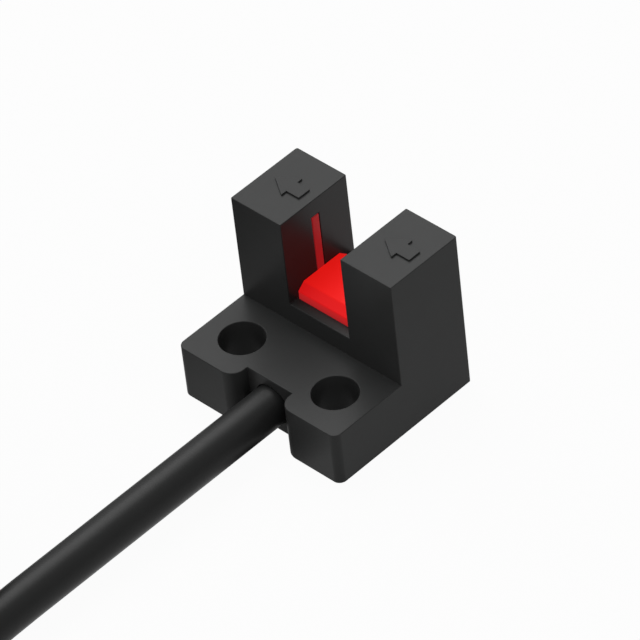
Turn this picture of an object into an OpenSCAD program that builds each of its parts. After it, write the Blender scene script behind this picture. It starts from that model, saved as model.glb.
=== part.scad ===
// Fork sensor: a slotted, U-shaped photoelectric micro sensor with a fixed four-core cable.
// Millimetres, +Z up, +Y to the back, origin at the middle of the housing's underside.

/* [Housing] */
// Depth of the mounting shelf, from its front to the prongs' front faces
shelf_d = 5.9; // [5.7:0.1:8]
// Height of the mounting shelf
shelf_h = 4.0; // [3.9:0.1:5]
// Width of each prong
prong_w = 4.2; // [4.1:0.1:6]
// Depth of the prongs
prong_d = 5.9; // [5.6:0.1:8]
// Height of the prongs' tops above the mounting face
prong_h = 12.0; // [11.8:0.1:16]
// Thickness of the outer walls
wall = 0.7; // [0.6:0.05:0.8]
// Thickness of the wall between a prong's chamber and the slot
inner_wall = 0.6; // [0.5:0.05:0.65]
// Radius of the shelf's front corners
front_r = 0.55; // [0.2:0.05:0.8]
// Radius of the rear corners
rear_r = 0.15; // [0.1:0.05:0.6]
// Radius of each prong's rear corner beside the slot
slot_corner_r = 0.1; // [0.05:0.05:0.4]

/* [Sensing slot] */
// Width of the slot between the prongs
slot_w = 5.0; // [4.6:0.1:8]
// Depth of the slot below the prongs' tops
slot_depth = 6.5; // [5:0.1:6.7]
// Thickness of the slot's floor
floor_t = 0.6; // [0.4:0.05:0.7]
// Width of the slit in each prong's inner wall
slit_w = 0.65; // [0.4:0.05:1.2]
// Distance from a prong's top down to its slit
slit_drop = 1.27; // [0.9:0.01:1.6]
// Distance from a prong's top down to the light's axis
axis_drop = 2.5; // [2.4:0.1:3]

/* [Mounting holes] */
// Diameter of the two through holes
hole_d = 3.0; // [2.6:0.1:3.2]
// Distance between the holes' centres
hole_pitch = 7.9; // [7.8:0.1:8.6]
// Distance from the shelf's front to the holes' centres
hole_setback = 2.95; // [2.8:0.05:3.4]
// Thickness left between a hole and the cable channel
boss_wall = 0.6; // [0.4:0.05:0.7]

/* [Cable notch] */
// Width of the notch's flat back wall
notch_w = 3.8; // [3.2:0.1:4]
// Depth of the notch
notch_d = 1.27; // [0.9:0.01:1.4]
// Radius of the notch's front corners, at most its depth
notch_r = 1.0; // [0.5:0.05:1.2]
// Thickness of the notch's back wall
notch_wall = 0.6; // [0.4:0.05:0.8]

/* [Slit cover] */
// Distance from a prong's front or rear face to the indicator block
block_setback = 0.79; // [0.75:0.01:1.2]
// Height of the indicator block above the slot's floor
block_h = 1.03; // [0.8:0.01:1.6]
// Run of the block's front and rear chamfers
chamfer_run = 0.56; // [0.2:0.01:0.8]
// Rise of the block's front and rear chamfers
chamfer_rise = 0.47; // [0.2:0.01:0.6]
// Thickness of the flange below the slot's floor
flange_t = 0.4; // [0.3:0.05:0.5]
// Thickness of the arm behind each slit
arm_t = 0.5; // [0.3:0.05:0.55]
// Width of the arm behind each slit
arm_w = 2.4; // [1.6:0.1:3]

/* [Direction arrows] */
// Length of the arrow ahead of the prong's middle
arrow_tip = 1.15; // [0.8:0.05:1.4]
// Length of the arrow behind the prong's middle
arrow_tail = 1.35; // [0.8:0.05:1.5]
// Length of the arrow's head
arrow_head = 1.45; // [0.8:0.05:1.6]
// Width of the arrow's head
arrow_w = 1.9; // [1.4:0.05:2.6]
// Width of the arrow's shaft
arrow_shaft = 1.0; // [0.5:0.05:1.3]
// Height of the arrow above the prong's top
arrow_h = 0.13; // [0.05:0.01:0.2]

/* [Base cover] */
// Thickness of the plate that closes the housing from below
cover_t = 0.7; // [0.65:0.05:0.8]
// Width of the step that the plate seats against
cover_lip = 0.3; // [0.15:0.05:0.35]
// Height of the posts that carry the board
post_h = 0.8; // [0.75:0.05:0.9]
// Width of the posts
post_w = 0.7; // [0.5:0.05:0.8]

/* [Circuit board] */
// Thickness of the board
board_t = 0.8; // [0.6:0.05:0.9]
// Distance between the cores' solder pads
pad_pitch = 0.9; // [0.88:0.01:0.92]

/* [Light packages] */
// Thickness of the emitter's and receiver's packages, across the prong
package_t = 1.8; // [1.4:0.05:1.85]
// Width of the packages
package_w = 3.0; // [2.2:0.1:3.6]
// Height of the packages
package_h = 3.0; // [2.4:0.1:3.2]
// Height of the lens on a package's face
lens_h = 0.3; // [0.15:0.05:0.3]
// Radius of the lens
lens_r = 0.8; // [0.5:0.05:1]
// Diameter of the packages' leads
lead_d = 0.4; // [0.3:0.05:0.45]
// Distance between a package's two leads
lead_pitch = 1.27; // [1.2:0.01:1.5]

/* [Cable] */
// Diameter of the cable's jacket
cable_d = 2.74; // [2.6:0.02:2.74]
// Diameter of one insulated core
core_d = 0.8; // [0.7:0.02:0.8]
// Diameter of a core's bare copper
wire_d = 0.4; // [0.3:0.02:0.44]
// Thickness of the crimp ring
crimp_t = 0.2; // [0.1:0.02:0.24]
// Length of the crimp ring along the cable
crimp_len = 1.0; // [0.6:0.1:1.2]
// Length of the tinned ends
tip_len = 5; // [3:0.5:8]

/* [Coil tie] */
// Width of the tie's strap
tie_w = 2.5; // [1.8:0.1:4]
// Thickness of the tie's strap
tie_t = 0.4; // [0.2:0.05:0.6]

/* [Hidden] */
$fn = 48;
// Clearance of a piece in its seat
fit = 0.03;
// How far a cut runs past a face, and how deep two solids of one piece join
over = 0.1;

// The route of the cable from its stripped end in the housing to the coil
cable_route = [
    [0, -2.4, 2], [0, -4, 2], [0, -6, 2], [0, -8, 2], [0, -10, 2],
    [0, -12, 2], [0, -14, 2], [0, -16, 2], [0, -18, 2], [0, -20, 2],
    [0, -22, 2], [0, -24, 2], [0, -26, 2], [0, -28, 1.96], [0, -29.5, 1.9]
];
// Every how many points of the route the jacket has a ring, and the rings of the coil's top layer
ring_step = 3;
end_rings = 24;
// The middle of the coil on the floor, and the radius of its outermost turn
coil_at = [-19.3, -40];
coil_r = 19.3;
// The distance between the middles of two turns, and the turns across and up the bundle
turn_pitch = 2.76;
coil_columns = 3;
coil_layers = 3;
// Where the cable changes column or layer: the turn, columns inwards, layers up
coil_steps = [
    [0.82, 1, 0], [1.82, 1, 0], [2.72, 0, 1], [3.62, -1, 0], [4.62, -1, 0],
    [5.52, 0, 1], [6.42, 1, 0], [7.42, 1, 0], [8.32, 0, 1], [9.3, -1, 0]
];
// The part of a turn that a change takes
step_turn = 0.1;
// The turns at which the top layer starts and the jacket ends
top_turn = 8.45;
last_turn = 9.45;
// The part of a turn over which the free cores lie, that before they start, and the radii they reach
lead_turn = 0.262;
lead_gap = 0.0005;
lead_radii = [15.9, 17.1, 18.3, 19.5];
// Where on their way the cores and the free cores move sideways and up or down: start, length
core_spread = [0.1, 0.55];
core_climb = [0.2, 0.65];
lead_spread = [0, 0.35];
lead_fall = [0.1, 0.5];
// The direction from the coil's middle to its tie
tie_angle = -90;
// How far the coil's plain run of cable reaches into its ring
stub_len = 6.5;

// Housing
body_w = slot_w + 2 * prong_w;
body_d = shelf_d + prong_d;
y_front = -body_d / 2;
y_prong = y_front + shelf_d;
y_back = body_d / 2;
axis_y = y_prong + prong_d / 2;
slot_floor = prong_h - slot_depth;
slit_top = prong_h - slit_drop;
axis_z = prong_h - axis_drop;
prong_mid = (slot_w + prong_w) / 2;
notch_back = y_front + notch_d;
hole_y = y_front + hole_setback;

// Chambers inside the housing
room_x = body_w / 2 - wall;
room_y0 = y_prong + wall;
room_y1 = y_back - wall;
room_top = slot_floor - floor_t;
chamber_x = slot_w / 2 + inner_wall;
channel_w = hole_pitch - hole_d - 2 * boss_wall;
channel_y0 = notch_back + notch_wall;
channel_top = shelf_h - wall;

// Slit cover
block_x = slot_w / 2 - fit;
block_y0 = y_prong + block_setback;
block_y1 = y_back - block_setback;
flange_top = room_top - fit;
flange_z = flange_top - flange_t;
arm_x0 = chamber_x + fit;
arm_x1 = arm_x0 + arm_t;
// The legs that stand the cover on the board: their width and their distance from the middle
leg_w = 0.8;
leg_x = 2.4;

// Board: the gap round it, and how far the posts stay inside its ends
board_gap = 0.1;
post_inset = 0.1;
board_z = cover_t + post_h;
board_top = board_z + board_t;
board_y0 = room_y0 + board_gap;
board_y1 = room_y1 - board_gap;
post_x = room_x - board_gap - post_inset - post_w / 2;

// Light packages: how far their leads reach below the board, and how much wider the drillings are
lead_tail = 0.4;
drill_gap = 0.2;
package_x = arm_x1 + lens_h + 2 * fit;
lead_x = package_x + package_t / 2;
drill_d = lead_d + drill_gap;

// Parts on the board: their sizes along X, Y and Z
chip_size = [2.0, 1.0, 0.9];
lamp_size = [1.6, 0.8, 0.55];
resistor_size = [1.0, 0.5, 0.35];
capacitor_size = [1.6, 0.8, 0.6];
diode_size = [1.2, 0.8, 0.6];
// The gaps from the chips' moulding to the board's edges
chip_gap = 0.2;
transistor_gap = 0.25;
// How far each of a pair stands from the middle
transistor_x = 3.2;
lamp_x = 1.0;
capacitor_x = 1.1;
diode_x = 3.3;
// The row of resistors, and how far resistors and capacitors stand inside the board's edges
resistor_count = 6;
resistor_pitch = 1.2;
resistor_setback = 0.6;
capacitor_setback = 0.7;

// Solder round a lead: its height, and its width beyond the lead's tip and the drilling
solder_h = 0.35;
solder_tip = 0.06;
solder_foot = 0.15;

// Cable: how far the crimp stays behind the jacket's end, and the cores from the cable's axis
crimp_gap = 0.4;
core_offset = 0.42;
cable_r = cable_d / 2;
cable_z = cable_route[0][2];
jacket_y = cable_route[0][1];
crimp_y = jacket_y - crimp_gap;
crimp_r = cable_r + fit + crimp_t;

// Cores: how far the insulation and the solder pads' middles reach over the board
core_reach = 0.4;
pad_setback = 0.85;
pad_r = 0.43;
core_y1 = board_y0 + core_reach;
core_z1 = board_top + core_d / 2 + fit;
pad_y = board_y0 + pad_setback;

// Coil
ring_in = coil_r - (coil_columns - 1) * turn_pitch - cable_r;
ring_out = coil_r + cable_r;
ring_h = (coil_layers - 1) * turn_pitch + cable_d;
top_h = ring_h + turn_pitch;
// How far the flat strap stays inside the ring's round inner wall
strap_in = sqrt(pow(ring_in, 2) - pow(tie_w / 2, 2)) - fit;

// Sweeps and the routes of cores and coil

function unit(v) = v / norm(v);
function mix(a, b, t) = a + (b - a) * t;
// 0 before t = 0, 1 after t = 1 and a smooth rise between
function eased(t) = let (c = min(max(t, 0), 1)) c * c * (3 - 2 * c);
function total(list) = list * [for (item = list) 1];

// The direction of a route at its point i
function heading(route, i) =
    unit(route[min(i + 1, len(route) - 1)] - route[max(i - 1, 0)]);

// The eight corners of a tube's ring round a point, for a route that is nowhere upright
function ring_at(p, along, r) =
    let (side = unit(cross(along, [0, 0, 1])), up = cross(side, along))
    [for (k = [0:7]) p + r * (cos(45 * k + 22.5) * side + sin(45 * k + 22.5) * up)];

// A solid tube with eight sides along a route
module tube(route, r) {
    last = len(route) - 1;
    polyhedron(
        points = [for (i = [0:last]) each ring_at(route[i], heading(route, i), r)],
        faces = concat(
            [[for (k = [7:-1:0]) k]],
            [for (i = [0:last - 1], k = [0:7])
                [8 * i + k, 8 * i + (k + 1) % 8, 8 * i + 8 + (k + 1) % 8, 8 * i + 8 + k]],
            [[for (k = [0:7]) 8 * last + k]]
        )
    );
}

// Columns inwards (what = 1) or layers up (what = 2) that the coil has moved by a turn
function coil_moved(turn, what) =
    total([for (s = coil_steps) s[what] * eased((turn - s[0]) / step_turn)]);

function on_coil(turn, r, z) =
    [coil_at[0] + r * cos(360 * turn), coil_at[1] - r * sin(360 * turn), z];

function coil_point(turn) =
    on_coil(turn, coil_r - turn_pitch * coil_moved(turn, 1), cable_r + turn_pitch * coil_moved(turn, 2));

// The place of core i in the jacket: lower, upper, upper, lower from one side to the other
function core_side(i) = (i < 2 ? -1 : 1) * core_offset;
function core_rise(i) = (i == 1 || i == 2 ? 1 : -1) * core_offset;

// The part of a way that has passed by v, for a move that starts at a share of it and takes a share
function moved(v, share) = eased((v - share[0]) / share[1]);

// The route of core i from the jacket to the board's top
function core_route(i) = [
    for (v = [0:0.1:1]) [
        mix(core_side(i), (i - 1.5) * pad_pitch, moved(v, core_spread)),
        mix(jacket_y, core_y1, v),
        mix(cable_z + core_rise(i), core_z1, moved(v, core_climb))
    ]
];

// The route of core i from the jacket's free end along the top of the coil
function lead_route(i) =
    let (r0 = coil_r - turn_pitch, z0 = cable_r + turn_pitch * coil_layers)
    [for (v = concat([0, 0.01], [for (n = [1:12]) n / 12]))
        on_coil(last_turn + lead_gap + lead_turn * v,
            mix(r0 + core_side(i), lead_radii[i], moved(v, lead_spread)),
            mix(z0 + core_rise(i), ring_h + core_d / 2 + fit, moved(v, lead_fall)))];

// Outlines

// What a rounding takes off a corner at the origin whose sides run along +X and +Y
module corner_waste(r) {
    difference() {
        translate([-over, -over]) square(r + over);
        translate([r, r]) circle(r);
    }
}

// A rectangle with its own radius at each corner: front left, front right, rear left, rear right
module plate_outline(low, high, radii) {
    difference() {
        translate(low) square(high - low);
        for (right = [0, 1], rear = [0, 1]) {
            r = radii[right + 2 * rear];
            if (r > 0) translate([right ? high[0] : low[0], rear ? high[1] : low[1]])
                mirror([right, 0]) mirror([0, rear]) corner_waste(r);
        }
    }
}

// The notch that the cable leaves by, with the rounding of its two front corners
module notch_outline() {
    translate([-notch_w / 2, y_front - over]) square([notch_w, notch_d + over]);
    for (left = [0, 1]) mirror([left, 0]) translate([notch_w / 2, y_front])
        corner_waste(min(notch_r, notch_d));
}

module arrow_outline() {
    head = arrow_head - arrow_tip;
    polygon([
        [-arrow_tip, 0], [head, arrow_w / 2], [head, arrow_shaft / 2], [arrow_tail, arrow_shaft / 2],
        [arrow_tail, -arrow_shaft / 2], [head, -arrow_shaft / 2], [head, -arrow_w / 2]
    ]);
}

// A box from its lowest to its highest corner
module box(low, high) {
    translate(low) cube(high - low);
}

// A cylinder along Y between two depths, on the cable's axis
module along_cable(r, y0, y1) {
    translate([0, y1, cable_z]) rotate([90, 0, 0]) cylinder(h = y1 - y0, r = r);
}

module both_sides() {
    children();
    mirror([1, 0, 0]) children();
}

// Housing and covers

module housing_form() {
    linear_extrude(shelf_h) difference() {
        plate_outline([-body_w / 2, y_front], [body_w / 2, y_back], [front_r, front_r, rear_r, rear_r]);
        notch_outline();
    }
    linear_extrude(slot_floor)
        plate_outline([-body_w / 2, y_prong], [body_w / 2, y_back], [0, 0, rear_r, rear_r]);
    both_sides() linear_extrude(prong_h)
        plate_outline([slot_w / 2, y_prong], [body_w / 2, y_back], [0, 0, slot_corner_r, rear_r]);
    for (side = [-1, 1]) translate([side * prong_mid, axis_y, prong_h - over])
        linear_extrude(arrow_h + over) arrow_outline();
}

module housing() color([0.2, 0.2, 0.2]) difference() {
    housing_form();
    box([-room_x, room_y0, -over], [room_x, room_y1, room_top]);
    both_sides() box([chamber_x, room_y0, -over], [room_x, room_y1, prong_h - wall]);
    box([-room_x - cover_lip, room_y0 - cover_lip, -over], [room_x + cover_lip, room_y1 + cover_lip, cover_t]);
    box([-channel_w / 2, channel_y0, -over], [channel_w / 2, room_y0 + over, channel_top]);
    along_cable(cable_r + fit, notch_back - over, room_y0 + over);
    along_cable(crimp_r + fit, crimp_y - crimp_len - fit, crimp_y + fit);
    box([-slot_w / 2, block_y0 - fit, room_top - over], [slot_w / 2, block_y1 + fit, slot_floor + over]);
    box([-chamber_x - over, axis_y - slit_w / 2, room_top - over],
        [chamber_x + over, axis_y + slit_w / 2, slit_top]);
    for (side = [-1, 1]) translate([side * hole_pitch / 2, hole_y, -over])
        cylinder(h = shelf_h + 2 * over, d = hole_d);
}

module base_cover() color([0.16, 0.16, 0.16]) {
    difference() {
        union() {
            box([-room_x - cover_lip + fit, room_y0 - cover_lip + fit, 0],
                [room_x + cover_lip - fit, room_y1 + cover_lip - fit, cover_t]);
            box([-channel_w / 2 + fit, channel_y0 + fit, 0], [channel_w / 2 - fit, room_y0 + fit, cover_t]);
        }
        along_cable(cable_r + fit, channel_y0, jacket_y);
        along_cable(crimp_r + fit, crimp_y - crimp_len - fit, crimp_y + fit);
    }
    both_sides() for (y = [board_y0 + post_w / 2, board_y1 - post_w / 2])
        translate([post_x - post_w / 2, y - post_w / 2, cover_t - over]) cube([post_w, post_w, post_h + over]);
}

module block_profile() {
    top = slot_floor + block_h;
    polygon([
        [block_y0, flange_top - over], [block_y0, top - chamfer_rise], [block_y0 + chamfer_run, top],
        [block_y1 - chamfer_run, top], [block_y1, top - chamfer_rise], [block_y1, flange_top - over]
    ]);
}

module slit_cover() color([0.88, 0.1, 0.1]) {
    rotate([90, 0, 90]) linear_extrude(2 * block_x, center = true) block_profile();
    box([-arm_x1, block_y0, flange_z], [arm_x1, block_y1, flange_top]);
    both_sides() {
        box([arm_x0, axis_y - arm_w / 2, flange_top - over], [arm_x1, axis_y + arm_w / 2, slit_top]);
        box([slot_w / 2, axis_y - slit_w / 2 + fit, flange_top - over],
            [arm_x0 + over, axis_y + slit_w / 2 - fit, slit_top - fit]);
        box([block_x - over, axis_y - slit_w / 2 + fit, flange_top - over],
            [slot_w / 2 + over, axis_y + slit_w / 2 - fit, slot_floor + block_h - chamfer_rise]);
        box([leg_x - leg_w / 2, block_y1 - leg_w, board_top + fit], [leg_x + leg_w / 2, block_y1, flange_z + over]);
    }
}

// Board, light packages and parts

module lead_places() {
    for (side = [-1, 1], row = [-1, 1])
        translate([side * lead_x, axis_y + row * lead_pitch / 2, 0]) children();
}

module circuit_board() color([0.1, 0.35, 0.2]) difference() {
    box([-room_x + board_gap, board_y0, board_z], [room_x - board_gap, board_y1, board_top]);
    lead_places() translate([0, 0, board_z - over]) cylinder(h = board_t + 2 * over, d = drill_d);
}

// The package in the right prong, with its lens towards the slot
module light_package() {
    box([package_x, axis_y - package_w / 2, axis_z - package_h / 2],
        [package_x + package_t, axis_y + package_w / 2, axis_z + package_h / 2]);
    intersection() {
        translate([package_x - lens_h + lens_r, axis_y, axis_z]) sphere(lens_r);
        box([package_x - lens_h - over, axis_y - lens_r, axis_z - lens_r],
            [package_x + over, axis_y + lens_r, axis_z + lens_r]);
    }
}

module package_leads() {
    for (row = [-1, 1]) translate([lead_x, axis_y + row * lead_pitch / 2, board_z - lead_tail])
        cylinder(h = axis_z - package_h / 2 - board_z + lead_tail, d = lead_d);
}

module emitter() color([0.55, 0.6, 0.75]) light_package();
module emitter_leads() color([0.8, 0.8, 0.78]) package_leads();
module receiver() color([0.12, 0.1, 0.14]) mirror([1, 0, 0]) light_package();
module receiver_leads() color([0.8, 0.8, 0.78]) mirror([1, 0, 0]) package_leads();

// A moulded chip on the board's top with legs along its front and rear edges
module moulded_chip(at, size, legs) {
    lift = 0.08;
    leg = [0.3, 0.28, 0.4];
    pitch = 0.65;
    translate([at[0], at[1], board_top]) {
        translate([-size[0] / 2, -size[1] / 2, lift]) cube([size[0], size[1], size[2] - lift]);
        for (edge = [0, 1], k = [0:legs[edge] - 1])
            translate([(k - (legs[edge] - 1) / 2) * pitch - leg[0] / 2,
                (edge ? size[1] / 2 - over : -size[1] / 2 - leg[1] + over), 0]) cube(leg);
    }
}

// A part with a metal cap at each end, standing on or hanging from a face of the board
module capped_part(at, size, below) {
    cap = 0.22;
    inset = 0.03;
    translate([at[0], at[1], below ? board_z - size[2] : board_top]) {
        translate([-size[0] / 2 + over, -size[1] / 2 + inset, inset])
            cube([size[0] - 2 * over, size[1] - 2 * inset, size[2] - 2 * inset]);
        for (end = [-1, 1]) translate([end * (size[0] - cap) / 2 - cap / 2, -size[1] / 2, 0])
            cube([cap, size[1], size[2]]);
    }
}

module control_chip() color([0.13, 0.13, 0.14])
    moulded_chip([0, board_y1 - chip_gap - chip_size[1] / 2], chip_size, [3, 3]);

module output_transistors() color([0.13, 0.13, 0.14])
    for (side = [-1, 1])
        moulded_chip([side * transistor_x, board_y0 + transistor_gap + chip_size[1] / 2], chip_size, [2, 1]);

module indicator_lamps() color([0.95, 0.9, 0.8])
    for (side = [-1, 1]) capped_part([side * lamp_x, axis_y], lamp_size, false);

module resistors() color([0.1, 0.1, 0.1])
    for (k = [0:resistor_count - 1])
        capped_part([(k - (resistor_count - 1) / 2) * resistor_pitch, board_y0 + resistor_setback],
            resistor_size, true);

module capacitors() color([0.6, 0.5, 0.38])
    for (side = [-1, 1])
        capped_part([side * capacitor_x, board_y1 - capacitor_setback], capacitor_size, true);

module protection_diodes() color([0.15, 0.15, 0.15])
    for (side = [-1, 1]) capped_part([side * diode_x, axis_y], diode_size, true);

module solder_joints() color([0.75, 0.75, 0.77]) {
    lead_places() translate([0, 0, board_z - solder_h]) difference() {
        cylinder(h = solder_h, r1 = lead_d / 2 + solder_tip, r2 = drill_d / 2 + solder_foot);
        translate([0, 0, -over]) cylinder(h = solder_h + 2 * over, d = lead_d + fit);
    }
    for (i = [0:3]) translate([(i - 1.5) * pad_pitch, pad_y, board_top]) difference() {
        rise = core_z1 - board_top;
        union() {
            cylinder(h = rise, r = pad_r);
            translate([0, 0, rise]) sphere(pad_r);
        }
        translate([0, 0, rise]) rotate([90, 0, 0])
            cylinder(h = 2 * (pad_r + over), d = wire_d + fit, center = true);
        translate([0, 0, -pad_r]) cylinder(h = pad_r, r = pad_r + over);
    }
}

// Cable, cores, coil and leads

module crimp_ring() color([0.72, 0.6, 0.35]) difference() {
    along_cable(crimp_r, crimp_y - crimp_len, crimp_y);
    along_cable(cable_r + fit, crimp_y - crimp_len - over, crimp_y + over);
}

module core(i, colour) color(colour) tube(core_route(i), core_d / 2);
module lead(i, colour) color(colour) tube(lead_route(i), core_d / 2);

brown = [0.36, 0.2, 0.1];
blue = [0.1, 0.25, 0.65];
black = [0.08, 0.08, 0.08];
white = [0.9, 0.9, 0.88];
module core_brown() core(0, brown);
module core_blue() core(1, blue);
module core_black() core(2, black);
module core_white() core(3, white);
module lead_brown() lead(0, brown);
module lead_blue() lead(1, blue);
module lead_black() lead(2, black);
module lead_white() lead(3, white);

module core_wires() color([0.8, 0.5, 0.3])
    for (i = [0:3]) translate([(i - 1.5) * pad_pitch, pad_y + pad_r + over, core_z1]) rotate([90, 0, 0])
        cylinder(h = pad_y + pad_r + over - core_y1, d = wire_d);

module lead_tips() color([0.78, 0.78, 0.78])
    for (i = [0:3]) {
        route = lead_route(i);
        last = len(route) - 1;
        along = heading(route, last);
        translate(route[last]) rotate([0, acos(along[2]), atan2(along[1], along[0])])
            cylinder(h = tip_len, d = wire_d);
    }

module cable() color([0.22, 0.22, 0.22]) {
    last = len(cable_route) - 1;
    tube(concat([for (i = [0:ring_step:last - 2]) cable_route[i]], [cable_route[last - 1], cable_route[last]]),
        cable_r);
}

// The bundle's section: a box with round corners of the cable's own radius
module bundle_outline() {
    plate_outline([ring_in, 0], [ring_out, ring_h], cable_r * [1, 1, 1, 1]);
}

module cable_coil() color([0.22, 0.22, 0.22]) {
    start = cable_route[len(cable_route) - 1];
    along = heading(cable_route, len(cable_route) - 1);
    difference() {
        translate([coil_at[0], coil_at[1], 0]) rotate_extrude($fn = 96) bundle_outline();
        translate([coil_at[0], coil_at[1], 0]) rotate(tie_angle)
            translate([ring_in - over, -tie_w / 2 - over, -over])
                cube([ring_out - ring_in + 2 * over, tie_w + 2 * over, tie_t + fit + over]);
    }
    translate(start) rotate([0, acos(along[2]), atan2(along[1], along[0])]) cylinder(h = stub_len, r = cable_r);
}

module cable_end() color([0.22, 0.22, 0.22])
    tube([for (k = concat([for (n = [0:end_rings - 1]) n], end_rings - 0.1, end_rings))
        coil_point(mix(top_turn, last_turn, k / end_rings))], cable_r);

// The strap's path round the bundle, with the top layer's one turn on the inner side
module strap_outline() {
    polygon([
        [strap_in, tie_t], [ring_out + fit, tie_t], [ring_out + fit, ring_h + fit],
        [ring_in + cable_d + fit, top_h + fit], [strap_in, top_h + fit]
    ]);
}

module coil_tie() color([0.85, 0.85, 0.83]) {
    head = [2, 3.2, 2.8];
    translate([coil_at[0], coil_at[1], 0]) rotate(tie_angle) {
        translate([0, tie_w / 2, 0]) rotate([90, 0, 0]) linear_extrude(tie_w) difference() {
            offset(delta = tie_t) strap_outline();
            strap_outline();
        }
        translate([strap_in - tie_t - head[0] + over, -head[1] / 2, ring_h / 2]) cube(head);
    }
}

housing();
base_cover();
slit_cover();
circuit_board();
emitter();
emitter_leads();
receiver();
receiver_leads();
control_chip();
output_transistors();
indicator_lamps();
resistors();
capacitors();
protection_diodes();
solder_joints();
crimp_ring();
core_brown();
core_blue();
core_black();
core_white();
core_wires();
cable();
cable_coil();
cable_end();
coil_tie();
lead_brown();
lead_blue();
lead_black();
lead_white();
lead_tips();
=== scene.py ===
"""Finishes, fine edges, cable, tie, studio and camera of a fork sensor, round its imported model."""

import logging
import math
from dataclasses import dataclass, field
from enum import Enum
from typing import Any, Sequence, Union

import bmesh
import bpy
from mathutils import Matrix, Quaternion, Vector


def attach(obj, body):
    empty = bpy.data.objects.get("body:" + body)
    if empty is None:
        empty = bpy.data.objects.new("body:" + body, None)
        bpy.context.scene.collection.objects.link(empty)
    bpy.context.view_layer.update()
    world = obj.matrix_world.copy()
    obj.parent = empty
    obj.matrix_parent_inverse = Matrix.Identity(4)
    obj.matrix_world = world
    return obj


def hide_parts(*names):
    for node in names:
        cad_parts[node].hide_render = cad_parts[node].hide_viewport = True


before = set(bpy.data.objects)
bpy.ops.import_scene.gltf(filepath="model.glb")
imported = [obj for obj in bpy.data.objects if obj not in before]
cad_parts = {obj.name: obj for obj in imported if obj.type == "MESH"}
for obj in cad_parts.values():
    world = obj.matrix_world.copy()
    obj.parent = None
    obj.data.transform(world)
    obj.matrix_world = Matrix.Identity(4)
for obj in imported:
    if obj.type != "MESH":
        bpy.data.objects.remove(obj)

logging.basicConfig(level=logging.INFO, format="%(name)s: %(message)s")
log = logging.getLogger("fork_sensor")

MM = 0.001
BODY = "root"

Colour = tuple[float, float, float]
Rgba = tuple[float, float, float, float]
Number = Union["Sock", float]
Settings = dict[str, Any]
Inputs = dict[Union[int, str], Any]

BLACK: Rgba = (0.0, 0.0, 0.0, 1.0)
WHITE: Rgba = (1.0, 1.0, 1.0, 1.0)


# Nodes and their maths


class Sock:
    """A node's output that takes part in Python arithmetic and adds Math nodes as it does."""

    def __init__(self, wiring: "Wiring", socket: bpy.types.NodeSocket) -> None:
        """Wraps one socket of a tree under construction."""
        self.wiring = wiring
        self.socket = socket

    def _math(self, operation: str, first: Number, second: Number) -> "Sock":
        """Adds a Math node and returns its output."""
        return self.wiring.node("ShaderNodeMath", {0: first, 1: second}, {"operation": operation})

    def __add__(self, other: Number) -> "Sock":
        """Sum."""
        return self._math("ADD", self, other)

    __radd__ = __add__

    def __sub__(self, other: Number) -> "Sock":
        """Difference."""
        return self._math("SUBTRACT", self, other)

    def __rsub__(self, other: float) -> "Sock":
        """Difference from a number on the left."""
        return self._math("SUBTRACT", other, self)

    def __mul__(self, other: Number) -> "Sock":
        """Product."""
        return self._math("MULTIPLY", self, other)

    __rmul__ = __mul__

    def __truediv__(self, other: Number) -> "Sock":
        """Quotient."""
        return self._math("DIVIDE", self, other)

    def __gt__(self, other: Number) -> "Sock":
        """1 where the value is above the other, and 0 elsewhere."""
        return self._math("GREATER_THAN", self, other)

    def sine(self) -> "Sock":
        """The sine of the value, in radians."""
        return self._math("SINE", self, 0.0)

    def top(self, other: Number) -> "Sock":
        """The larger of the two values."""
        return self._math("MAXIMUM", self, other)


class Wiring:
    """A node tree under construction, with one method that makes every node."""

    tree: bpy.types.NodeTree

    def node(
        self,
        kind: str,
        inputs: Inputs | None = None,
        settings: Settings | None = None,
        output: Union[int, str] = 0,
    ) -> Sock:
        """Makes a node, sets it up and feeds it.

        Args:
            kind: the node's type.
            inputs: values or links, by the socket's name or number.
            settings: properties, which are set first; "stops" are a ramp's places and colours.
            output: the socket to hand back.

        Returns:
            The chosen output, or the first input of a node that has no outputs.
        """
        made = self.tree.nodes.new(kind)
        for key, value in (settings or {}).items():
            if key == "stops":
                self._stops(made.color_ramp, value)
            else:
                setattr(made, key, value)
        for key, value in (inputs or {}).items():
            if isinstance(value, Sock):
                self.tree.links.new(value.socket, made.inputs[key])
            else:
                made.inputs[key].default_value = value
        return Sock(self, made.outputs[output] if made.outputs else made.inputs[0])

    @staticmethod
    def _stops(ramp: bpy.types.ColorRamp, stops: Sequence[tuple[float, Colour]]) -> None:
        """Gives a ramp its places and colours.

        Args:
            ramp: the ramp, which has two stops at first.
            stops: the places and colours, in order.
        """
        while len(ramp.elements) < len(stops):
            ramp.elements.new(1.0)
        for element, (place, colour) in zip(ramp.elements, stops):
            element.position = place
            element.color = (*colour, 1.0)


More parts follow.
